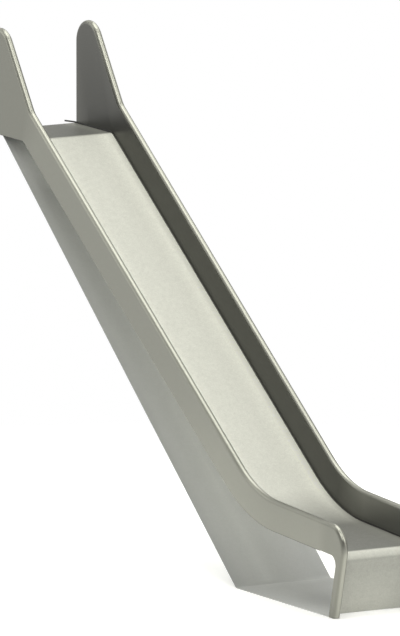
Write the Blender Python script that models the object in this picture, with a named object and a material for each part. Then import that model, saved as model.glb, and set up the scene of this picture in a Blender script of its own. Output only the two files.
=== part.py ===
"""Embankment slide of folded stainless sheet: a platform with two tall ears, a straight chute, a run-out on
two legs, and the folded under-sheet that lies on the bank and the ground below it.

Side view coordinates are (run, height) in metres. Run grows downhill from the fold of the under-sheet, and
height is measured from the underside of its ground part. Downhill is -Y, the width lies along X.
"""

import math

import bmesh
import bpy
import numpy as np

# Driving dimensions, in metres and degrees
CLEAR_WIDTH = 0.500
CHEEK_THICKNESS = 0.040
SHEET = 0.0025
GROUND_SHEET = 0.003
WELD_GAP = 0.0003
ORIGIN_RUN = 0.500

PLATFORM_HEIGHT = 2.045
PLATFORM_BACK = -2.656
PLATFORM_BEND = 0.040
SLOPE_ANGLE = 35.0
RUN_OUT_ANGLE = 3.0
RUN_OUT_CORNER = (0.127, 0.378)
BED_BEND = 0.950

EDGE_RADIUS = CHEEK_THICKNESS / 2
SLOPE_RISE = 0.152
RUN_OUT_RISE = 0.141
EAR_TOP_RADIUS = 0.106
EAR_FRONT_ANGLE = 55.5
KNEE_RISE = 0.168
KNEE_RADIUS = 0.150

LEG_LEAN = 13.9
LEG_AXIS_AT_BED = 1.088
LEG_CORNER_RADIUS = 0.112
LEG_FLAT = 0.0354
LEG_INNER_CORNER = 0.050
LEG_ROOT = 0.080

TOE_LEAN = 17.5
TOE_CORNER_RUN = 1.0136
TOE_RADIUS = 0.045

STRIP_WIDTH = 0.006
STRIP_HEIGHT = 0.009
TAIL_LENGTH = 0.110
TAIL_DROP = 0.008

UNDER_SLOPE_ANGLE = 39.4
UNDER_BEND = 0.012
FOLD_REACH = 0.100
UNDER_WIDTH = 0.570
GROUND_FRONT = 0.912
GROUND_TAB_FRONT = 1.010

ARC_STEP = math.radians(7.5)
BEND_STEP = math.radians(2.5)
HALF_ROUND_STEPS = 8

STAINLESS = (0.55, 0.55, 0.51, 1.0)
STAINLESS_DULL = (0.30, 0.30, 0.28, 1.0)
BARE_SHEET = (0.33, 0.34, 0.32, 1.0)
SEAM_DARK = (0.06, 0.06, 0.06, 1.0)


def heading(degrees):
    """Unit direction in the side view, running downhill and pointing down by this angle."""
    angle = math.radians(degrees)
    return np.array([math.cos(angle), -math.sin(angle)])


def uphill_normal(direction):
    """Unit direction in the side view that points out of the top of a sheet running in this direction."""
    return np.array([-direction[1], direction[0]])


def crossing(point_a, direction_a, point_b, direction_b):
    """The point where two straight lines of the side view cross."""
    system = np.array([direction_a, -np.asarray(direction_b)]).T
    along = np.linalg.solve(system, np.asarray(point_b, float) - np.asarray(point_a, float))
    return np.asarray(point_a, float) + along[0] * np.asarray(direction_a)


def rounded(corners, radii, step=ARC_STEP):
    """A path through these corners, where each inner corner becomes an arc of its radius."""
    corners = [np.asarray(corner, float) for corner in corners]
    path = [corners[0]]
    for before, corner, after, radius in zip(corners, corners[1:], corners[2:], radii):
        arriving = (corner - before) / np.linalg.norm(corner - before)
        leaving = (after - corner) / np.linalg.norm(after - corner)
        turn = math.atan2(
            arriving[0] * leaving[1] - arriving[1] * leaving[0], float(arriving @ leaving)
        )
        side = math.copysign(1.0, turn)
        start = corner - arriving * radius * math.tan(abs(turn) / 2)
        centre = start + side * radius * np.array([-arriving[1], arriving[0]])
        spoke = start - centre
        count = max(2, math.ceil(abs(turn) / step))
        for angle in np.linspace(0.0, turn, count + 1):
            cosine, sine = math.cos(angle), math.sin(angle)
            path.append(
                centre + (cosine * spoke[0] - sine * spoke[1], sine * spoke[0] + cosine * spoke[1])
            )
    path.append(corners[-1])
    return np.array(path)


def path_normals(path):
    """The uphill normal at each point of a path, halfway between those of its two pieces."""
    pieces = np.diff(path, axis=0)
    pieces /= np.linalg.norm(pieces, axis=1)[:, None]
    directions = np.vstack([pieces[:1], pieces[:-1] + pieces[1:], pieces[-1:]])
    directions /= np.linalg.norm(directions, axis=1)[:, None]
    return np.column_stack([-directions[:, 1], directions[:, 0]])


def offset(path, distance):
    """The path moved along its normals, so that the pieces stay parallel to the old ones."""
    pieces = np.diff(path, axis=0)
    pieces /= np.linalg.norm(pieces, axis=1)[:, None]
    normals = path_normals(path)
    across = np.column_stack([-pieces[:, 1], pieces[:, 0]])
    across = np.vstack([across, across[-1:]])
    stretch = 1.0 / np.einsum("ij,ij->i", normals, across)
    return path + normals * (distance * stretch)[:, None]


def shares_of(path):
    """The share of the path's length at each of its points."""
    lengths = np.concatenate([[0.0], np.cumsum(np.linalg.norm(np.diff(path, axis=0), axis=1))])
    return lengths / lengths[-1]


def matched(*paths):
    """The paths with as many points as each other, in step, where each keeps all its own points."""
    shares = [shares_of(path) for path in paths]
    together = np.unique(np.round(np.concatenate(shares), 5))
    return [
        np.column_stack([np.interp(together, own, path[:, 0]), np.interp(together, own, path[:, 1])])
        for own, path in zip(shares, paths)
    ]


def world(side_points, x):
    """Points of the side view at this place across the width, as rows of world coordinates."""
    side_points = np.atleast_2d(side_points)
    x = np.broadcast_to(x, len(side_points))
    return np.column_stack([x, ORIGIN_RUN - side_points[:, 0], side_points[:, 1]])


def material(name, colour, roughness):
    """A metal finish."""
    finish = bpy.data.materials.new(name)
    finish.use_nodes = True
    shader = finish.node_tree.nodes["Principled BSDF"]
    shader.inputs["Base Color"].default_value = colour
    shader.inputs["Metallic"].default_value = 1.0
    shader.inputs["Roughness"].default_value = roughness
    return finish


def add_node(name, points, faces, finish, smooth=True):
    """A named object from points and faces, with its faces turned outwards."""
    mesh = bpy.data.meshes.new(name)
    mesh.from_pydata([tuple(point) for point in points], [], faces)
    shape = bmesh.new()
    shape.from_mesh(mesh)
    bmesh.ops.recalc_face_normals(shape, faces=shape.faces)
    shape.to_mesh(mesh)
    shape.free()
    mesh.materials.append(finish)
    if smooth:
        mesh.shade_smooth()
        mesh.set_sharp_from_angle(angle=math.radians(30))
    node = bpy.data.objects.new(name, mesh)
    bpy.context.collection.objects.link(node)
    return node


def ring_faces(stations, ring):
    """Faces of a tube of closed rings, each ring of so many points, without its two ends."""
    return [
        (
            s * ring + r,
            s * ring + (r + 1) % ring,
            (s + 1) * ring + (r + 1) % ring,
            (s + 1) * ring + r,
        )
        for s in range(stations - 1)
        for r in range(ring)
    ]


def sheet_node(name, top_path, thickness, x_low, x_high, finish):
    """A folded sheet or bar: the path is its upper face in the side view, and it runs straight across."""
    under = offset(top_path, -thickness)
    outline = np.vstack([top_path, under[::-1]])
    count = len(outline)
    points = np.vstack([world(outline, x_low), world(outline, x_high)])
    half = len(top_path)
    faces = ring_faces(2, count)
    for base in (0, count):
        faces += [
            (base + i, base + i + 1, base + count - 2 - i, base + count - 1 - i) for i in range(half - 1)
        ]
    return add_node(name, points, faces, finish)


def cheek_node(name, axis, outer_foot, inner_foot, normals, side, finish):
    """A length of hollow cheek: two flat walls from their foot paths up to the axis path, and the half-round
    edge round the axis that joins them, all in one sheet. Side is -1 for the left cheek, 1 for the right."""
    middle = side * (CLEAR_WIDTH / 2 + EDGE_RADIUS)
    swing = np.linspace(0.0, math.pi, HALF_ROUND_STEPS + 1)
    rings = []
    for centre, outer, inner, normal in zip(axis, outer_foot, inner_foot, normals):
        ring = []
        for radius, turns, first, last in (
            (EDGE_RADIUS, swing, outer, inner),
            (EDGE_RADIUS - SHEET, swing[::-1], inner, outer),
        ):
            across = middle + side * radius * np.cos(turns)
            ring.append(world(first, across[0]))
            ring.append(world(centre + np.outer(np.sin(turns), normal) * radius, across))
            ring.append(world(last, across[-1]))
        rings.append(np.vstack(ring))
    count = len(rings[0])
    points = np.vstack(rings)
    faces = ring_faces(len(rings), count)
    for start in (0, (len(rings) - 1) * count):
        faces += [
            (start + i, start + i + 1, start + count - 2 - i, start + count - 1 - i)
            for i in range(count // 2 - 1)
        ]
    return add_node(name, points, faces, finish)


def plate_node(name, outline, low, high, finish):
    """A level plate between two heights, whose outline is seen from above as (x, run)."""
    count = len(outline)
    points = [(x, ORIGIN_RUN - run, z) for z in (low, high) for x, run in outline]
    faces = ring_faces(2, count) + [tuple(range(count)), tuple(range(count, 2 * count))]
    return add_node(name, points, faces, finish, smooth=False)


for old in list(bpy.data.objects):
    bpy.data.objects.remove(old, do_unlink=True)

bright = material("brushed stainless sheet", STAINLESS, 0.35)
dull = material("stainless in shade", STAINLESS_DULL, 0.45)
plain = material("plain under-sheet", BARE_SHEET, 0.5)
seam = material("dark seam strip", SEAM_DARK, 0.5)

# The bed line in the side view: platform, slope, run-out and toe
downhill = heading(SLOPE_ANGLE)
run_out = heading(RUN_OUT_ANGLE)
slope_up = uphill_normal(downhill)
run_out_up = uphill_normal(run_out)
leg_down = heading(90.0 + LEG_LEAN)
leg_out = uphill_normal(leg_down)
toe_down = heading(90.0 + TOE_LEAN)
level = heading(0.0)

run_out_corner = np.array(RUN_OUT_CORNER)
platform_corner = crossing(run_out_corner, downhill, (0.0, PLATFORM_HEIGHT), level)
leg_top = run_out_corner + run_out * (LEG_AXIS_AT_BED - run_out_corner[0]) / run_out[0]
toe_corner = run_out_corner + run_out * (TOE_CORNER_RUN - run_out_corner[0]) / run_out[0]
bend_length = BED_BEND * math.tan(math.radians(SLOPE_ANGLE - RUN_OUT_ANGLE) / 2)
bend_start = run_out_corner - downhill * bend_length
bend_end = run_out_corner + run_out * bend_length
toe_start = toe_corner - run_out * TOE_RADIUS * math.tan(math.radians(90.0 + TOE_LEAN - RUN_OUT_ANGLE) / 2)
foot_level = (0.0, GROUND_SHEET + WELD_GAP)
toe_end = crossing(toe_corner, toe_down, foot_level, level)

# The line of the half-round edge's axis: ear, slope, run-out and leg
slope_axis = run_out_corner + slope_up * SLOPE_RISE
run_out_axis = run_out_corner + run_out_up * RUN_OUT_RISE
knee = crossing(slope_axis, downhill, (0.0, PLATFORM_HEIGHT + KNEE_RISE - EDGE_RADIUS), level)
ear_rear = PLATFORM_BACK + EDGE_RADIUS
ear_peak = crossing(knee, heading(EAR_FRONT_ANGLE), (ear_rear, 0.0), (0.0, 1.0))
axis_corner = crossing(slope_axis, downhill, run_out_axis, run_out)
leg_corner = crossing(run_out_axis, run_out, leg_top, leg_down)

# Cuts between the welded lengths of cheek
knee_end = knee + downhill * 2 * KNEE_RADIUS * math.tan(math.radians(EAR_FRONT_ANGLE - SLOPE_ANGLE) / 2)
slope_top = crossing(knee_end, slope_up, run_out_corner, downhill)
run_out_end = toe_start - run_out * LEG_ROOT

half_width = CLEAR_WIDTH / 2 + CHEEK_THICKNESS
inner_half = CLEAR_WIDTH / 2 - WELD_GAP

# Bed sheets, as wide as the slide, with the cheeks standing on them. Only the toe plate fits between the legs
platform_path = rounded(
    [(PLATFORM_BACK, PLATFORM_HEIGHT), platform_corner, slope_top], [PLATFORM_BEND]
)
sheet_node("platform_sheet", platform_path, SHEET, -half_width, half_width, dull)
slope_path = np.array([slope_top + downhill * WELD_GAP, bend_start])
sheet_node("slope_bed", slope_path, SHEET, -half_width, half_width, bright)
bend_path = rounded([bend_start, run_out_corner, bend_end], [BED_BEND], BEND_STEP)[1:-1]
bend_path[0] += downhill * WELD_GAP
bend_path[-1] -= run_out * WELD_GAP
sheet_node("bend_bed", bend_path, SHEET, -half_width, half_width, bright)
run_out_path = np.array([bend_end, run_out_end])
sheet_node("run_out_bed", run_out_path, SHEET, -half_width, half_width, dull)
leg_start = run_out_end + run_out * WELD_GAP
toe_path = rounded([leg_start, toe_corner, toe_end], [TOE_RADIUS])
sheet_node("toe_plate", toe_path, SHEET, -inner_half, inner_half, bright)

# Ear: its edge climbs the rear, rounds the peak and comes down to the knee. Its foot follows the platform
platform_seat = offset(platform_path, WELD_GAP)
ear_axis = rounded(
    [(ear_rear, PLATFORM_HEIGHT + WELD_GAP), ear_peak, knee, knee_end], [EAR_TOP_RADIUS, KNEE_RADIUS]
)
ear_foot_start = np.array([ear_rear + SHEET * 2, PLATFORM_HEIGHT + WELD_GAP])
ear_axis, ear_foot = matched(ear_axis, np.vstack([ear_foot_start, platform_seat[1:]]))

# Slope and run-out cheeks are straight. The bend cheek changes from the one rise to the other
slope_axis_path = np.array([knee_end + downhill * WELD_GAP, bend_start + slope_up * SLOPE_RISE])
slope_foot_path = offset(slope_path, WELD_GAP)
bend_axis_start = bend_start + slope_up * SLOPE_RISE
bend_axis_end = bend_end + run_out_up * RUN_OUT_RISE
shorter_side = min(
    np.linalg.norm(axis_corner - bend_axis_start), np.linalg.norm(bend_axis_end - axis_corner)
)
cheek_bend = shorter_side * BED_BEND / bend_length
bend_axis_path = rounded([bend_axis_start, axis_corner, bend_axis_end], [cheek_bend], BEND_STEP)
bend_axis_path[0] += downhill * WELD_GAP
bend_axis_path[-1] -= run_out * WELD_GAP
bend_axis_path, bend_foot_path = matched(bend_axis_path, offset(bend_path, WELD_GAP))
bend_normals = path_normals(bend_axis_path)
bend_normals[0] = slope_up
bend_normals[-1] = run_out_up
run_out_axis_path = run_out_path + run_out_up * RUN_OUT_RISE
run_out_foot_path = run_out_path + run_out_up * WELD_GAP

# Leg: the outer wall is a narrow band behind the edge, and the inner wall reaches back to the toe plate
leg_end = crossing(leg_top, leg_down, foot_level, level)
leg_axis = rounded([leg_start + run_out_up * RUN_OUT_RISE, leg_corner, leg_end], [LEG_CORNER_RADIUS])
leg_back = leg_top - leg_out * LEG_FLAT
leg_heel = crossing(run_out_corner, run_out, leg_back, leg_down)
leg_foot = rounded([leg_start, leg_heel, crossing(leg_back, leg_down, foot_level, level)], [LEG_INNER_CORNER])
closing_path = offset(leg_foot, SHEET)
closing_path[-1] -= leg_down * SHEET
leg_axis, leg_foot, leg_inner_foot = matched(leg_axis, leg_foot, offset(toe_path, -SHEET))
leg_normals = path_normals(leg_axis)
leg_normals[-1] = level / math.cos(math.radians(LEG_LEAN))

# The cheeks, the strips that close the backs of the legs, and the slim strips along the foot of each cheek
strip_platform = offset(platform_path, WELD_GAP + STRIP_HEIGHT)
tail_tip = strip_platform[0] - level * TAIL_LENGTH - (0.0, TAIL_DROP)
strip_platform = np.vstack([tail_tip, strip_platform])
strip_bend = offset(bend_path, WELD_GAP + STRIP_HEIGHT)
strip_slope = slope_path + slope_up * (WELD_GAP + STRIP_HEIGHT)
strip_run_out = np.array([bend_end, toe_start]) + run_out_up * (WELD_GAP + STRIP_HEIGHT)
for word, side in (("left", -1.0), ("right", 1.0)):
    cheek_node(f"{word}_ear", ear_axis, ear_foot, ear_foot, path_normals(ear_axis), side, bright)
    slope_normals = path_normals(slope_axis_path)
    cheek_node(
        f"{word}_slope_cheek", slope_axis_path, slope_foot_path, slope_foot_path, slope_normals, side, bright
    )
    cheek_node(
        f"{word}_bend_cheek", bend_axis_path, bend_foot_path, bend_foot_path, bend_normals, side, bright
    )
    cheek_node(
        f"{word}_run_out_cheek",
        run_out_axis_path,
        run_out_foot_path,
        run_out_foot_path,
        path_normals(run_out_axis_path),
        side,
        bright,
    )
    cheek_node(f"{word}_leg", leg_axis, leg_foot, leg_inner_foot, leg_normals, side, bright)
    wall = SHEET + WELD_GAP
    hollow = sorted([side * (CLEAR_WIDTH / 2 + wall), side * (half_width - wall)])
    sheet_node(f"{word}_leg_back", closing_path, SHEET, *hollow, plain)
    corner = sorted([side * inner_half, side * (inner_half - STRIP_WIDTH)])
    sheet_node(f"{word}_platform_strip", strip_platform, STRIP_HEIGHT, *corner, seam)
    sheet_node(f"{word}_slope_strip", strip_slope, STRIP_HEIGHT, *corner, seam)
    sheet_node(f"{word}_bend_strip", strip_bend, STRIP_HEIGHT, *corner, seam)
    sheet_node(f"{word}_run_out_strip", strip_run_out, STRIP_HEIGHT, *corner, seam)

# The under-sheet: a long part up the bank, and a level part on the ground with a tab under each leg
bank_up = -heading(UNDER_SLOPE_ANGLE)
fold = np.array([0.0, GROUND_SHEET])
bank_top = crossing(fold, bank_up, (0.0, PLATFORM_HEIGHT - SHEET - WELD_GAP), level)
bank_path = rounded([bank_top, fold, fold + level * FOLD_REACH], [UNDER_BEND])
under_half = UNDER_WIDTH / 2
sheet_node("bank_sheet", bank_path, GROUND_SHEET, -under_half, under_half, plain)
tab_inner = CLEAR_WIDTH / 2
ground_outline = [
    (-under_half, FOLD_REACH + WELD_GAP),
    (under_half, FOLD_REACH + WELD_GAP),
    (under_half, GROUND_TAB_FRONT),
    (tab_inner, GROUND_TAB_FRONT),
    (tab_inner, GROUND_FRONT),
    (-tab_inner, GROUND_FRONT),
    (-tab_inner, GROUND_TAB_FRONT),
    (-under_half, GROUND_TAB_FRONT),
]
plate_node("ground_sheet", ground_outline, 0.0, GROUND_SHEET, plain)
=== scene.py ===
"""Embankment slide of folded stainless sheet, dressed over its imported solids.

Side view coordinates are (run, height) in metres. Run grows downhill from the fold of the under-sheet, and
height is measured from the ground. Downhill is -Y, run 0 lies at Y 0.5, and the width lies along X.
"""

import math

import bpy
import numpy as np
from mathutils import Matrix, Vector


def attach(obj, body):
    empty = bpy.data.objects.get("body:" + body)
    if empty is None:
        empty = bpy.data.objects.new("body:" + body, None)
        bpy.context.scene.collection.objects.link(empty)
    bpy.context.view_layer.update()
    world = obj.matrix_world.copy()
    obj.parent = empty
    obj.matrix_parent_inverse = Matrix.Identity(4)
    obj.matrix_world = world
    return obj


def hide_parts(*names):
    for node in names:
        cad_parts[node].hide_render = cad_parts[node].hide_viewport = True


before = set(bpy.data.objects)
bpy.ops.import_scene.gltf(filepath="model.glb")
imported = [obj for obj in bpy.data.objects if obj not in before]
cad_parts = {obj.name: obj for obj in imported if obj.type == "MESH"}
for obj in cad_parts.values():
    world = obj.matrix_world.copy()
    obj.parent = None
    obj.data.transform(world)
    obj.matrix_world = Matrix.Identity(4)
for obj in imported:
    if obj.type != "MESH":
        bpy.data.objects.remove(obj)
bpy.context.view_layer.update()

# The view: a long lens, 30 degrees round to the left of the toe and ten degrees above level. At this
# distance the lines of the slide stay parallel, as they do in the photograph.
view_turn, view_lift = math.radians(-29.731), math.radians(9.61)
view_distance = 98.0
view_middle = Vector((0.0078, 1.390, 1.2703))
towards_camera = Vector(
    (
        math.sin(view_turn) * math.cos(view_lift),
        -math.cos(view_turn) * math.cos(view_lift),
        math.sin(view_lift),
    )
)
camera_data = bpy.data.cameras.new("long_lens")
camera_data.sensor_width = 36.0
camera_data.lens = 1058.0
camera_data.clip_end = 400.0
camera = bpy.data.objects.new("long_lens", camera_data)
camera.location = view_middle + towards_camera * view_distance
camera.rotation_euler = towards_camera.to_track_quat("Z", "Y").to_euler()
bpy.context.collection.objects.link(camera)
bpy.context.scene.camera = camera
bpy.context.scene.view_settings.view_transform = "Standard"


# Floor: a pale matt floor under the slide, which fades out into the white behind it. Its material is written
# as all the later ones are, in sums and products of fields, which are values that vary over a surface.
class Field:
    """A node's output that can be added to, taken from, or multiplied by a number or another field."""

    def __init__(self, graph, socket):
        self.graph = graph
        self.socket = socket

    def joined(self, operation, first, second):
        """The outcome of this Math operation on two numbers or fields."""
        return self.graph.node("ShaderNodeMath", {"operation": operation}, {0: first, 1: second})

    def __add__(self, other):
        return self.joined("ADD", self, other)

    def __sub__(self, other):
        return self.joined("SUBTRACT", self, other)

    def __rsub__(self, other):
        return self.joined("SUBTRACT", other, self)

    def __mul__(self, other):
        return self.joined("MULTIPLY", self, other)

    __radd__ = __add__
    __rmul__ = __mul__


class Graph:
    """A tree of nodes, which one method adds to."""

    def __init__(self, tree):
        self.tree = tree

    def fill(self, socket, value):
        """Links a field to the socket, or sets the socket to a plain value."""
        if isinstance(value, Field):
            self.tree.links.new(value.socket, socket)
        else:
            socket.default_value = value

    def node(self, kind, settings, sockets, output=0):
        """Adds a node with these settings and these socket values or fields, and gives its output."""
        made = self.tree.nodes.new(kind)
        for setting, value in settings.items():
            setattr(made, setting, value)
        for key, value in sockets.items():
            self.fill(made.inputs[key], value)
        return Field(self, made.outputs[output])


class Finish(Graph):
    """A material made of one Principled shader."""

    def __init__(self, name, **sockets):
        self.material = bpy.data.materials.new(name)
        self.material.use_nodes = True
        super().__init__(self.material.node_tree)
        self.feed(**sockets)

    def feed(self, **sockets):
        """Gives the shader's socket of each name its value or field."""
        shader = self.tree.nodes["Principled BSDF"]
        for socket, value in sockets.items():
            self.fill(shader.inputs[socket.replace("_", " ")], value)

    def object_place(self):
        """The place on the object, in metres."""
        return self.node("ShaderNodeTexCoord", {}, {}, 3)

    def sheet_place(self):
        """The place on the sheet, in metres: first along it and then across it, from its travel map."""
        return self.node("ShaderNodeUVMap", {"uv_map": "travel"}, {})

    def part(self, place, axis):
        """One coordinate of a place."""
        return self.node("ShaderNodeSeparateXYZ", {}, {0: place}, axis)

    def cloud(self, place, size, detail, stretch=(1.0, 1.0, 1.0)):
        """Soft noise from 0 to 1 with patches about this size in metres, made longer by the stretch."""
        spread = tuple(1.0 / (size * factor) for factor in stretch)
        place = self.node("ShaderNodeMapping", {}, {"Vector": place, "Scale": spread})
        return self.node(
            "ShaderNodeTexNoise", {}, {"Vector": place, "Scale": 1.0, "Detail": detail, "Roughness": 0.55}
        )

    def ramp(self, field, low, high):
        """The field stretched so that low becomes 0 and high becomes 1, and held between them."""
        return self.node(
            "ShaderNodeMapRange", {"clamp": True}, {"Value": field, "From Min": low, "From Max": high}
        )

    def graded(self, field, first, *changes):
        """A value that goes from level to level along the field. Each change is the next level and the two
        places between which it is reached. The sum is the first level, and for each change a ramp as tall as
        the step from the level before."""
        value, before = first, first
        for level, low, high in changes:
            value = value + (level - before) * self.ramp(field, low, high)
            before = level
        return value

    def between(self, factor, dark, light):
        """A colour that goes from the dark one to the light one as the factor goes from 0 to 1."""
        return self.node("ShaderNodeMix", {"data_type": "RGBA"}, {0: factor, 6: dark, 7: light}, 2)

    def scaled(self, colour, factor):
        """The colour made darker or lighter by the factor."""
        return self.node("ShaderNodeVectorMath", {"operation": "SCALE"}, {0: colour, "Scale": factor})

    def bump(self, height, depth):
        """A surface normal for this height field, whose full range is this deep in metres."""
        return self.node("ShaderNodeBump", {}, {"Strength": 1.0, "Distance": depth, "Height": height})


slide_middle = (0.0, 1.3, 1.1)
floor_half, floor_drop = 4.3, 0.0005
fade_start, fade_end = 2.2, 4.2
floor_finish = Finish(
    "pale_floor",
    Base_Color=(0.88, 0.88, 0.87, 1.0),
    Emission_Color=(1.0, 1.0, 0.98, 1.0),
    Emission_Strength=0.32,
    Roughness=0.9,
)
floor_distance = floor_finish.node(
    "ShaderNodeVectorMath",
    {"operation": "DISTANCE"},
    {0: floor_finish.object_place(), 1: (0.0, slide_middle[1], 0.0)},
    1,
)
floor_finish.feed(Alpha=1.0 - floor_finish.ramp(floor_distance, fade_start, fade_end))
floor_points = [
    (side_x * floor_half, slide_middle[1] + side_y * floor_half, -floor_drop)
    for side_x, side_y in ((-1, -1), (1, -1), (1, 1), (-1, 1))
]
floor_mesh = bpy.data.meshes.new("floor")
floor_mesh.from_pydata(floor_points, [], [(0, 1, 2, 3)])
floor_mesh.materials.append(floor_finish.material)
floor = bpy.data.objects.new("floor", floor_mesh)
bpy.context.collection.objects.link(floor)

# The room: white where the camera looks past the slide. For the metal it is a glow that is brightest below
# the horizon, as over a pale floor, and fades to a faint light high up.
room = bpy.data.worlds.new("white_room")
room.use_nodes = True
sky = Graph(room.node_tree)
lift = sky.node("ShaderNodeSeparateXYZ", {}, {0: sky.node("ShaderNodeTexCoord", {}, {})}, 2)
brightness = sky.node(
    "ShaderNodeMapRange",
    {"clamp": True},
    {"Value": lift, "From Min": -0.05, "From Max": 0.55, "To Min": 0.90, "To Max": 0.10},
)
glow = sky.node("ShaderNodeBackground", {}, {"Color": (1.0, 1.0, 0.98, 1.0), "Strength": brightness})
white = sky.node("ShaderNodeBackground", {}, {"Color": (1.0, 1.0, 1.0, 1.0)})
seen = sky.node("ShaderNodeLightPath", {}, {})
either = sky.node("ShaderNodeMixShader", {}, {0: seen, 1: glow, 2: white})
sky.fill(room.node_tree.nodes["World Output"].inputs[0], either)
bpy.context.scene.world = room

# The lamps: a dome of broad soft squares round the slide, all the same size and equally far from its middle.
# They are strongest overhead and towards the toe.
lamp_size, lamp_distance = 8.0, 14.0
lamp_colour = (1.0, 1.0, 0.955)
for name, direction, power in (
    ("overhead_light", (0.00, 0.20, 1.00), 679.0),
    ("key_light", (0.46, -0.08, 0.87), 340.0),
    ("front_high_light", (0.34, -0.60, 0.72), 470.0),
    ("front_left_light", (-0.35, -0.45, 0.80), 640.0),
    ("back_right_light", (0.49, 0.45, 0.72), 410.0),
    ("right_light", (0.95, 0.10, 0.30), 160.0),
    ("front_right_light", (0.49, -0.76, 0.43), 200.0),
    ("back_left_light", (-0.50, 0.50, 0.70), 185.0),
    ("back_light", (0.00, 0.80, 0.60), 200.0),
    ("back_left_low_light", (-0.64, 0.66, 0.38), 240.0),
    ("left_light", (-0.90, -0.10, 0.40), 120.0),
    ("upper_left_light", (-0.50, 0.10, 0.86), 125.0),
):
    lamp = bpy.data.lights.new(name, "AREA")
    lamp.size = lamp_size
    lamp.energy = power
    lamp.color = lamp_colour
    holder = bpy.data.objects.new(name, lamp)
    towards = Vector(direction).normalized()
    holder.location = Vector(slide_middle) + towards * lamp_distance
    holder.rotation_euler = towards.to_track_quat("Z", "Y").to_euler()
    holder.visible_camera = False
    bpy.context.collection.objects.link(holder)

# Chute bed: one stainless sheet the width of the slide, 2.5 mm thick. It is folded over the front of the
# platform, runs straight down at 35 degrees and is rolled to a wide bend that ends in the flat run-out.
sheet = 0.0025
wall = 0.040
clear_half = 0.250
half_width = clear_half + wall
slope_fall, run_out_fall = 35.0, 3.0
fold_radius, bend_radius = 0.040, 0.950
platform_height, platform_back = 2.045, -2.656
run_out_corner = np.array([0.127, 0.378])
toe_front, toe_radius, toe_lean = 1.0136, 0.045, 17.5
run_out_gap = 0.080
support = 0.004
fold_y = 0.5


def heading(degrees):
    """Unit direction in the side view, running downhill and pointing down by this angle."""
    return np.array([math.cos(math.radians(degrees)), -math.sin(math.radians(degrees))])


def upward(direction):
    """Unit direction in the side view out of the top of a sheet that runs in this direction."""
    return np.array([-direction[1], direction[0]])


def crossing(point_a, direction_a, point_b, direction_b):
    """The point where two straight lines of the side view cross."""
    system = np.array([direction_a, -np.asarray(direction_b)]).T
    along = np.linalg.solve(system, np.subtract(point_b, point_a))
    return np.asarray(point_a, float) + along[0] * np.asarray(direction_a)


def at_height(height, point, direction):
    """The point at this height on the straight line through a point."""
    return crossing(point, direction, (0.0, height), (1.0, 0.0))


def at_run(run, point, direction):
    """The point at this run on the straight line through a point."""
    return crossing(point, direction, (run, 0.0), (0.0, 1.0))


def corner_length(radius, degrees):
    """How far before its corner a bend of this radius and this turn starts."""
    return radius * math.tan(math.radians(degrees) / 2)


def side_line(corners, radii, step=2.0, lead=support):
    """A line through the corners. Each inner corner becomes an arc of its radius, cut into steps of so many
    degrees: the arc's middle plus its first spoke turned by each angle. A point more leads in and out of
    each arc, so that the straight parts shade flat."""
    corners = [np.asarray(corner, float) for corner in corners]
    parts = [corners[0][None]]
    for before, corner, after, radius in zip(corners, corners[1:], corners[2:], radii):
        arriving = (corner - before) / np.linalg.norm(corner - before)
        leaving = (after - corner) / np.linalg.norm(after - corner)
        turn = math.atan2(arriving[0] * leaving[1] - arriving[1] * leaving[0], float(arriving @ leaving))
        start = corner - arriving * radius * math.tan(abs(turn) / 2)
        spoke = -math.copysign(radius, turn) * upward(arriving)
        angles = np.linspace(0.0, turn, math.ceil(abs(math.degrees(turn)) / step) + 1)
        turned = np.outer(np.cos(angles), spoke) + np.outer(np.sin(angles), upward(spoke))
        arc = start - spoke + turned
        parts += [(start - arriving * lead)[None], arc, (arc[-1] + leaving * lead)[None]]
    return np.vstack([*parts, corners[-1][None]])


def line_normals(line):
    """At each point of a line, the unit direction out of its upper side, halfway between its two pieces."""
    pieces = np.diff(line, axis=0)
    pieces /= np.linalg.norm(pieces, axis=1)[:, None]
    directions = np.vstack([pieces[:1], pieces[:-1] + pieces[1:], pieces[-1:]])
    directions /= np.linalg.norm(directions, axis=1)[:, None]
    return np.column_stack([-directions[:, 1], directions[:, 0]])


def lifted(line, distance):
    """The line moved out along its normals, each stretched so that the pieces stay parallel."""
    pieces = np.diff(line, axis=0)
    pieces /= np.linalg.norm(pieces, axis=1)[:, None]
    across = np.column_stack([-pieces[:, 1], pieces[:, 0]])
    normals = line_normals(line)
    stretch = 1.0 / np.einsum("ij,ij->i", normals, np.vstack([across, across[-1:]]))
    return line + normals * (distance * stretch)[:, None]


def travelled(line):
    """The length of the line up to each of its points."""
    return np.concatenate([[0.0], np.cumsum(np.linalg.norm(np.diff(line, axis=0), axis=1))])


def placed(points, x):
    """Side view points at this place across the width, as X, Y and Z."""
    return np.stack([np.broadcast_to(x, points.shape[:-1]), fold_y - points[..., 0], points[..., 1]], -1)


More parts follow.
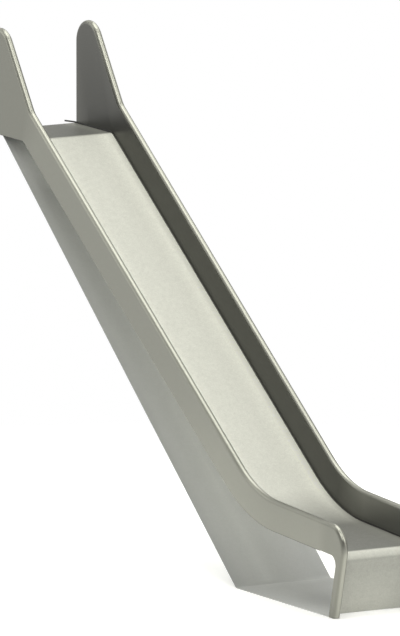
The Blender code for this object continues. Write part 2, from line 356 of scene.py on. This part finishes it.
def shell(name, rings, pattern, finish, slot, *nodes):
    """A closed body from a grid of points. Each row of the grid goes once round a section, out along one
    skin and back along the other, and neighbouring rows are joined by quads. The first and last rows are
    closed by joining each point to its partner on the other skin. Pattern holds a UV pair for each point."""
    rows, ring = rings.shape[:2]
    row, column = np.meshgrid(np.arange(rows - 1), np.arange(ring), indexing="ij")
    here, following = row * ring + column, row * ring + (column + 1) % ring
    sides = np.stack([here, following, following + ring, here + ring], -1).reshape(-1, 4)
    first = np.arange(ring // 2 - 1)
    cap = np.stack([first, first + 1, ring - 2 - first, ring - 1 - first], -1)
    faces = np.vstack([sides, cap[:, ::-1], cap + (rows - 1) * ring])
    points = rings.reshape(-1, 3)
    a, b, c, d = (points[faces[:, i]] for i in range(4))
    if (np.einsum("ij,ij->i", a, np.cross(b, c)) + np.einsum("ij,ij->i", a, np.cross(c, d))).sum() < 0:
        faces = faces[:, ::-1]
    mesh = bpy.data.meshes.new(name)
    mesh.from_pydata(points.tolist(), [], faces.tolist())
    mesh.polygons.foreach_set("use_smooth", np.ones(len(faces), bool))
    mesh.set_sharp_from_angle(angle=math.radians(40))
    layer = mesh.uv_layers.new(name="travel")
    layer.data.foreach_set("uv", pattern.reshape(-1, 2)[faces.ravel()].ravel())
    mesh.materials.append(finish.material)
    piece = bpy.data.objects.new(name, mesh)
    bpy.context.collection.objects.link(piece)
    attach(piece, "root")
    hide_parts(*nodes)


def folded_sheet(name, line, thickness, x_low, x_high, finish, slot, *nodes, start=0.0):
    """A sheet whose upper face is the line in the side view, carried straight across the width. Start is
    the length of sheet that comes before it."""
    outline = np.vstack([line, lifted(line, -thickness)[::-1]])
    length = np.concatenate([travelled(line), travelled(line)[::-1]]) + start
    rings = np.stack([placed(outline, x) for x in (x_low, x_high)])
    across, along = np.meshgrid([x_low, x_high], length, indexing="ij")
    shell(name, rings, np.stack([along, across], -1), finish, slot, *nodes)


def stainless(name, dark, light, mottle, metallic=1.0):
    """Matt stainless sheet: cloudy patches a few centimetres across with finer specks in them, and faint
    rubbing marks that run along the sheet. It keeps its mottled colour as metal, for a piece to make darker
    or lighter, and the mottle itself as grain, from 0.5 where it is dark to -0.5 where it is light."""
    patch_size, speck_size, mark_width, mark_stretch, relief = 0.024, 0.007, 0.012, 40.0, 0.000005
    finish = Finish(name, Metallic=metallic)
    patches = finish.ramp(finish.cloud(finish.object_place(), patch_size, 3.0), 0.30, 0.70)
    specks = finish.ramp(finish.cloud(finish.object_place(), speck_size, 2.0), 0.35, 0.75)
    marks = finish.cloud(finish.sheet_place(), mark_width, 1.0, (mark_stretch, 1.0, 1.0))
    finish.grain = 0.5 - (0.35 * patches + 0.55 * specks + 0.10 * marks)
    finish.metal = finish.between(0.5 - mottle * finish.grain, dark, light)
    finish.feed(Normal=finish.bump(patches, relief))
    return finish


downhill, run_out, level = heading(slope_fall), heading(run_out_fall), heading(0.0)
slope_up, run_out_up = upward(downhill), upward(run_out)
platform_corner = at_height(platform_height, run_out_corner, downhill)
toe_corner = at_run(toe_front, run_out_corner, run_out)
toe_start = toe_corner - run_out * corner_length(toe_radius, 90.0 + toe_lean - run_out_fall)
run_out_end = toe_start - run_out * run_out_gap
bed_corners = [(platform_back, platform_height), platform_corner, run_out_corner]
bed_line = side_line([*bed_corners, run_out_end], [fold_radius, bend_radius], 1.0)

# How far along the sheet its folds start and end
fold_half = corner_length(fold_radius, slope_fall)
bend_half = corner_length(bend_radius, slope_fall - run_out_fall)
fold_start = platform_corner[0] - platform_back - fold_half
fold_end = fold_start + fold_radius * math.radians(slope_fall)
slope_end = fold_end + np.linalg.norm(run_out_corner - platform_corner) - fold_half - bend_half
bend_over = slope_end + bend_radius * math.radians(slope_fall - run_out_fall)
crest = bend_over + np.linalg.norm(toe_start - run_out_corner) - bend_half

# The bed's colour carries painted light and shade that follow the sheet's tilt: dark on the platform and the
# run-out, bright on the slope, a painted highlight on the toe's crest, and the toe plate below it lighter
# towards its foot. Painted light makes it lighter beside the cheeks, and it is dark at the cut side edges.
bed_finish = stainless("chute_sheet", (0.450, 0.450, 0.402, 1.0), (0.690, 0.695, 0.625, 1.0), 0.55, 0.20)
bed_travel = bed_finish.part(bed_finish.sheet_place(), 0)
bed_across = bed_finish.part(bed_finish.sheet_place(), 1)
platform_tone, slope_tone, slope_foot_tone, run_out_tone = 0.23, 0.85, 0.93, 0.25
crest_tone, plate_top_tone, plate_foot_tone = 0.86, 0.62, 0.80
lightest_across, cut_edge_shade = 0.210, 0.72
painted_light_down_bed = bed_finish.graded(
    bed_travel,
    platform_tone,
    (slope_tone, fold_start - 0.010, fold_end - 0.006),
    (slope_foot_tone, fold_end, slope_end),
    (run_out_tone, bend_over - 0.435, bend_over + 0.020),
    (crest_tone, crest - 0.010, crest + 0.014),
    (plate_top_tone, crest + 0.056, crest + 0.066),
    (plate_foot_tone, crest + 0.120, crest + 0.300),
)
# Painted light near each cheek, against the shade of the wall
squared = bed_across * bed_across
painted_light_beside_cheek = bed_finish.ramp(squared * squared, 0.0, lightest_across**4)
painted_light_beside_cheek = painted_light_beside_cheek * (1.0 - bed_finish.ramp(bed_travel, crest - 0.040, crest))
cut_edge = bed_finish.ramp(squared, (clear_half + 0.003) ** 2, (clear_half + 0.006) ** 2)
bed_tone = painted_light_down_bed * (1.0 + painted_light_beside_cheek) * (1.0 - cut_edge_shade * cut_edge)
bed_finish.feed(
    Base_Color=bed_finish.scaled(bed_finish.metal, bed_tone),
    Roughness=0.46 + 0.08 * bed_finish.grain,
)
bed_nodes = ("platform_sheet", "slope_bed", "bend_bed", "run_out_bed")
folded_sheet("chute_bed", bed_line, sheet, -half_width, half_width, bed_finish, "chute_sheet", *bed_nodes)

# Toe: the same sheet goes on between the legs, is folded down over a 45 mm radius and leans back to the
# ground, where its lower edge stands on the under-sheet.
ground = 0.003
toe_end = at_height(ground, toe_corner, heading(90.0 + toe_lean))
toe_line = side_line([run_out_end, toe_corner, toe_end], [toe_radius])
folded_sheet(
    "toe_fold",
    toe_line,
    sheet,
    -clear_half,
    clear_half,
    bed_finish,
    "chute_sheet",
    "toe_plate",
    start=travelled(bed_line)[-1],
)

# Cheeks: hollow walls 40 mm thick, each pressed from stainless sheet with a half-round upper edge and
# welded on to the bed. Five lengths make a side: the tall ear beside the platform, the straight slope,
# the bend, the run-out and the leg that turns down at the toe.
edge_radius = wall / 2
slope_rise, run_out_rise, knee_rise = 0.152, 0.141, 0.148
ear_slant = 55.5
peak_radius, knee_radius = 0.106, 0.150
leg_front, leg_depth, leg_lean = 1.088, 0.0354, 13.9
leg_corner_radius, leg_heel_radius = 0.112, 0.050
outer_foot_mark, inner_top_mark, inner_foot_mark = -0.15, 0.07, 0.21
half_round_steps = 60


def in_step(*lines):
    """The lines with as many points as each other, at the same shares of their lengths: every share where
    one of them has a point, apart from those that all but meet the one before."""
    smallest_step = 0.0006
    shares = [travelled(line) / travelled(line)[-1] for line in lines]
    together = np.unique(np.concatenate(shares))
    together = together[np.diff(together, prepend=-1.0) > smallest_step]
    together[-1] = 1.0
    return [
        np.column_stack([np.interp(together, own, line[:, 0]), np.interp(together, own, line[:, 1])])
        for own, line in zip(shares, lines)
    ]


def cheek(name, axis, outer_foot, inner_foot, normals, side, *nodes):
    """A whole hollow cheek. At each point of the axis line the section goes up the outer wall, round a half
    circle about the axis, down the inner wall, and back inside both by the sheet's thickness. Across, the
    travel map is numbered by the marks at the outer foot and down the inner wall, and between them by the
    way round the half circle, from 0 where it starts. Side is -1 for the left cheek and 1 for the right."""
    middle = side * (clear_half + edge_radius)
    swing = np.linspace(0.0, math.pi, half_round_steps + 1)
    near = (axis - normals * support)[:, None]
    skins, heights = [], []
    for radius, turns, start, end in (
        (edge_radius, swing, outer_foot, inner_foot),
        (edge_radius - sheet, swing[::-1], inner_foot, outer_foot),
    ):
        across = middle + side * radius * np.cos(turns)
        edge = axis[:, None] + normals[:, None] * (radius * np.sin(turns))[None, :, None]
        section = np.concatenate([start[:, None], near, edge, near, end[:, None]], axis=1)
        skins.append(placed(section, np.concatenate([[across[0]] * 2, across, [across[-1]] * 2])))
        numbers = [[outer_foot_mark, -support], radius * turns, [inner_top_mark, inner_foot_mark]]
        heights.append(np.concatenate(numbers))
    pattern = np.stack(np.meshgrid(travelled(axis), np.concatenate(heights), indexing="ij"), -1)
    shell(name, np.concatenate(skins, axis=1), pattern, cheek_finish, "cheek_sheet", *nodes)


# The ear: the lines of the half-round's axis and of the walls' feet, as for each of the lengths below
slope_axis = run_out_corner + slope_up * slope_rise
run_out_axis = run_out_corner + run_out_up * run_out_rise
knee = at_height(platform_height + knee_rise, slope_axis, downhill)
knee_end = knee + downhill * 2 * corner_length(knee_radius, ear_slant - slope_fall)
slope_top = crossing(knee_end, slope_up, run_out_corner, downhill)
ear_rear = platform_back + edge_radius
ear_peak = at_run(ear_rear, knee, heading(ear_slant))
ear_axis = side_line([(ear_rear, platform_height), ear_peak, knee, knee_end], [peak_radius, knee_radius])
ear_heel = (ear_rear + 2 * sheet, platform_height)
ear_foot = side_line([ear_heel, platform_corner, slope_top], [fold_radius], lead=0.0)
ear_axis, ear_foot = in_step(ear_axis, ear_foot)

# The slope
bend_start = run_out_corner - downhill * bend_half
slope_foot = np.array([slope_top, bend_start])
slope_edge = np.array([knee_end, bend_start + slope_up * slope_rise])

# The bend: its edge is rolled to the largest radius that fits between the slope's edge and the run-out's
bend_end = run_out_corner + run_out * bend_half
bend_edge_start, bend_edge_end = slope_edge[1], bend_end + run_out_up * run_out_rise
edge_corner = crossing(slope_axis, downhill, run_out_axis, run_out)
shorter = min(np.linalg.norm(edge_corner - bend_edge_start), np.linalg.norm(bend_edge_end - edge_corner))
edge_bend_radius = shorter * bend_radius / bend_half
bend_edge = side_line([bend_edge_start, edge_corner, bend_edge_end], [edge_bend_radius], 1.0, lead=0.0)
bend_foot = side_line([bend_start, run_out_corner, bend_end], [bend_radius], 1.0, lead=0.0)[1:-1]
bend_edge, bend_foot = in_step(bend_edge, bend_foot)
bend_normals = line_normals(bend_edge)
bend_normals[0], bend_normals[-1] = slope_up, run_out_up

# The run-out
run_out_foot = np.array([bend_end, run_out_end])
run_out_edge = run_out_foot + run_out_up * run_out_rise

# The leg: its outer wall reaches back to the leg's rear, and its inner wall to the toe plate
leg_down = heading(90.0 + leg_lean)
leg_top = at_run(leg_front, run_out_corner, run_out)
leg_corner = crossing(run_out_axis, run_out, leg_top, leg_down)
leg_back = leg_top - upward(leg_down) * leg_depth
leg_heel = crossing(run_out_corner, run_out, leg_back, leg_down)
leg_edge = side_line([run_out_edge[1], leg_corner, at_height(ground, leg_top, leg_down)], [leg_corner_radius])
leg_foot = side_line([run_out_end, leg_heel, at_height(ground, leg_back, leg_down)], [leg_heel_radius])
leg_edge, leg_outer, leg_inner = in_step(leg_edge, leg_foot, lifted(toe_line, -sheet))
leg_normals = line_normals(leg_edge)
leg_normals[-1] = level / math.cos(math.radians(leg_lean))

lengths = [
    (ear_axis, ear_foot, ear_foot, line_normals(ear_axis)),
    (slope_edge, slope_foot, slope_foot, np.array([slope_up, slope_up])),
    (bend_edge, bend_foot, bend_foot, bend_normals),
    (run_out_edge, run_out_foot, run_out_foot, np.array([run_out_up, run_out_up])),
    (leg_edge, leg_outer, leg_inner, leg_normals),
]
whole = [np.vstack([lines[0][:1], *(line[1:] for line in lines)]) for lines in zip(*lengths)]

# The finish goes over from ear to slope at the knee, from slope to run-out over the bend, and from run-out to
# leg at the leg's corner.
cheek_colours = (0.220, 0.220, 0.192, 1.0), (0.345, 0.347, 0.303, 1.0)
cheek_finish = stainless("cheek_sheet", *cheek_colours, 0.12)
along = travelled(whole[0])
knee_at = along[np.abs(whole[0] - knee_end).sum(1).argmin()]
run_out_at = along[np.abs(whole[0] - bend_edge_end).sum(1).argmin()]
cheek_travel = cheek_finish.part(cheek_finish.sheet_place(), 0)
up_section = cheek_finish.part(cheek_finish.sheet_place(), 1)
past_knee = cheek_finish.ramp(cheek_travel, knee_at - 0.1, knee_at + 0.1)
past_bend = cheek_finish.ramp(cheek_travel, run_out_at - 0.60, run_out_at)
past_run_out = cheek_finish.ramp(cheek_travel, run_out_at + 0.45, run_out_at + 0.56)


def down_the_side(ear, slope, run_out, leg):
    """A value for each length of the cheek, which goes over evenly from one to the next."""
    return ear + (slope - ear) * past_knee + (run_out - slope) * past_bend + (leg - run_out) * past_run_out


# The outer side is made lighter on the slope and darker on the run-out and the leg. The crown of the
# half-round gets a painted highlight, faint on the slope; on the run-out it is painted on the inner half, and
# the outer half is painted darker.
crown = cheek_finish.ramp(up_section, 0.014, 0.026) - cheek_finish.ramp(up_section, 0.038, 0.050)
outer_half = 1.0 - cheek_finish.ramp(up_section, 0.022, 0.040)
on_run_out = past_bend * past_bend - past_run_out
crown_highlight = down_the_side(0.35, 0.04, 0.13, 0.40) + (0.34 - 0.54 * outer_half) * on_run_out
outside = cheek_finish.scaled(cheek_finish.metal, down_the_side(0.93, 1.09, 0.89, 0.78) + crown * crown_highlight)

# Painted shade on the inner walls: darker than the outside, darker still low down and darkest along their
# foot, and lighter on the ear and the run-out than on the slope
inside_shade_top, inside_shade_foot = (0.095, 0.095, 0.089, 1.0), (0.053, 0.053, 0.050, 1.0)
down_inside = cheek_finish.ramp(up_section, inner_top_mark, inner_foot_mark)
inside = cheek_finish.between(down_inside, inside_shade_top, inside_shade_foot)
inside_shade_tone = 1.20 - 0.57 * past_knee + 2.10 * cheek_finish.ramp(cheek_travel, run_out_at - 0.25, run_out_at)
foot_shade = (0.15 + 0.27 * past_knee * (1.0 - past_bend)) * cheek_finish.ramp(up_section, 0.176, 0.190)
inside = cheek_finish.scaled(inside, inside_shade_tone * (1.0 - foot_shade))
inward = 0.90 * cheek_finish.ramp(up_section, 0.042, 0.066)
cheek_finish.feed(Base_Color=cheek_finish.between(inward, outside, inside), Roughness=0.34 - 0.04 * crown)

for word, side in (("left", -1), ("right", 1)):
    covered = [f"{word}_{part}" for part in ("ear", "slope_cheek", "bend_cheek", "run_out_cheek", "leg")]
    cheek(f"{word}_cheek_shell", *whole, side, *covered)

# Leg backs: a strip of the same sheet let in between the two walls, which closes the hollow leg behind and
# the cheek over it below.
closing_finish = stainless("leg_closing_sheet", *cheek_colours, 0.25)
closing_finish.feed(Base_Color=closing_finish.metal, Roughness=0.34 + 0.08 * closing_finish.grain)
closing_line = lifted(leg_foot, sheet)
closing_line[-1] -= leg_down * sheet
for word, side in (("left", -1), ("right", 1)):
    name = f"{word}_leg_closing"
    gap = sorted([side * (clear_half + sheet), side * (half_width - sheet)])
    folded_sheet(name, closing_line, sheet, *gap, closing_finish, "cheek_sheet", f"{word}_leg_back")

# Seam strips: a slim strip set in the corner between the bed and the foot of each cheek, coloured nearly
# black as painted shade. Seam strips: a slim dark strip, perhaps of rubber, set in the corner between the
# bed and the foot of each cheek. It follows the bed from the toe up to the platform, and its loose end
# stands out behind the platform and droops a little.
strip_width, strip_height, strip_gap = 0.003, 0.009, 0.00015
strip_tail, strip_droop = 0.109, 0.008
strip_line = side_line([*bed_corners, toe_start], [fold_radius, bend_radius], 1.0)
strip_line = lifted(strip_line, strip_height / 2 + strip_gap)
strip_line = np.vstack([strip_line[0] - level * strip_tail - (0.0, strip_droop), strip_line])

# Its painted shade is made lighter along the slope
strip_finish = Finish("dark_strip", Metallic=0.0)
strip_grain = strip_finish.cloud(strip_finish.object_place(), 0.006, 3.0)
strip_travel = strip_finish.part(strip_finish.sheet_place(), 0)
strip_shade_lift = strip_finish.graded(
    strip_travel,
    1.0,
    (3.4, strip_tail + fold_end, strip_tail + fold_end + 0.05),
    (1.0, strip_tail + slope_end, strip_tail + bend_over),
)
strip_shade_colour = strip_finish.between(strip_grain, (0.012, 0.012, 0.011, 1.0), (0.035, 0.035, 0.032, 1.0))
strip_finish.feed(
    Base_Color=strip_finish.scaled(strip_shade_colour, strip_shade_lift),
    Roughness=0.50 + 0.15 * strip_grain,
    Normal=strip_finish.bump(strip_grain, 0.0001),
)


def seam_strip(name, side, *nodes):
    """A slim bar along the strip's line, whose section is a rounded oblong: a circle pushed out towards the
    corners by taking the square root of its cosine and sine."""
    points = 16
    turns = np.linspace(0.0, 2 * math.pi, points, endpoint=False) + math.pi / points
    out = np.sign(np.cos(turns)) * np.sqrt(np.abs(np.cos(turns))) * strip_width / 2
    up = np.sign(np.sin(turns)) * np.sqrt(np.abs(np.sin(turns))) * strip_height / 2
    section = strip_line[:, None] + line_normals(strip_line)[:, None] * up[None, :, None]
    rings = placed(section, side * (clear_half - strip_width / 2) + out)
    pattern = np.stack(np.meshgrid(travelled(strip_line), turns * strip_width, indexing="ij"), -1)
    shell(name, rings, pattern, strip_finish, "seam_strip", *nodes)


for word, side in (("left", -1), ("right", 1)):
    covered = [f"{word}_{part}_strip" for part in ("platform", "slope", "bend", "run_out")]
    seam_strip(f"{word}_seam_strip", side, *covered)

# Under-sheet: a plain 3 mm sheet that lies on the bank behind the slide, folded once at the foot of the
# bank. Its level part lies on the ground and carries the toe and both legs.
under_half = 0.285
bank_slant, bank_fold_radius, level_lap, bank_gap = 39.4, 0.012, 0.100, 0.0003
fold = np.array([0.0, ground])
bank_top = at_height(platform_height - sheet - bank_gap, fold, heading(bank_slant))
bank_line = side_line([bank_top, fold, fold + level * level_lap], [bank_fold_radius])

# Painted light and shade on the under-sheet: the bank part is painted lighter in the middle than at its side
# edges and lighter high up under the platform, and the level part is painted lighter towards the toe.
under_finish = stainless("under_sheet", (0.400, 0.407, 0.398, 1.0), (0.604, 0.613, 0.600, 1.0), 0.20, 0.15)
under_x, under_y, under_z = (under_finish.part(under_finish.object_place(), axis) for axis in range(3))
bank_across = under_finish.graded(under_x, 0.68, (1.24, -under_half, -0.090), (0.70, -0.070, 0.220))
top_across = under_finish.graded(under_x, 0.12, (0.74, -under_half, -0.180))
under_platform = top_across * under_finish.ramp(under_z, 1.78, 1.94)
bank_tone = bank_across + 0.10 * under_finish.ramp(under_z, 0.02, 0.25) + under_platform
level_across = under_finish.graded(under_x, 0.80, (1.02, -under_half, -0.100), (0.82, 0.0, 0.200))
level_tone = level_across + 0.55 * under_finish.ramp(under_y, 0.38, -0.22)
on_bank = under_finish.ramp(under_z, 0.003, 0.020)
under_tone = level_tone + on_bank * (bank_tone - level_tone)
under_finish.feed(
    Base_Color=under_finish.scaled(under_finish.metal, under_tone),
    Roughness=0.50 + 0.08 * under_finish.grain,
)
bank_ends = (-under_half, under_half)
folded_sheet("bank_fold", bank_line, ground, *bank_ends, under_finish, "under_sheet", "bank_sheet")
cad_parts["ground_sheet"].data.materials.clear()
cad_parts["ground_sheet"].data.materials.append(under_finish.material)
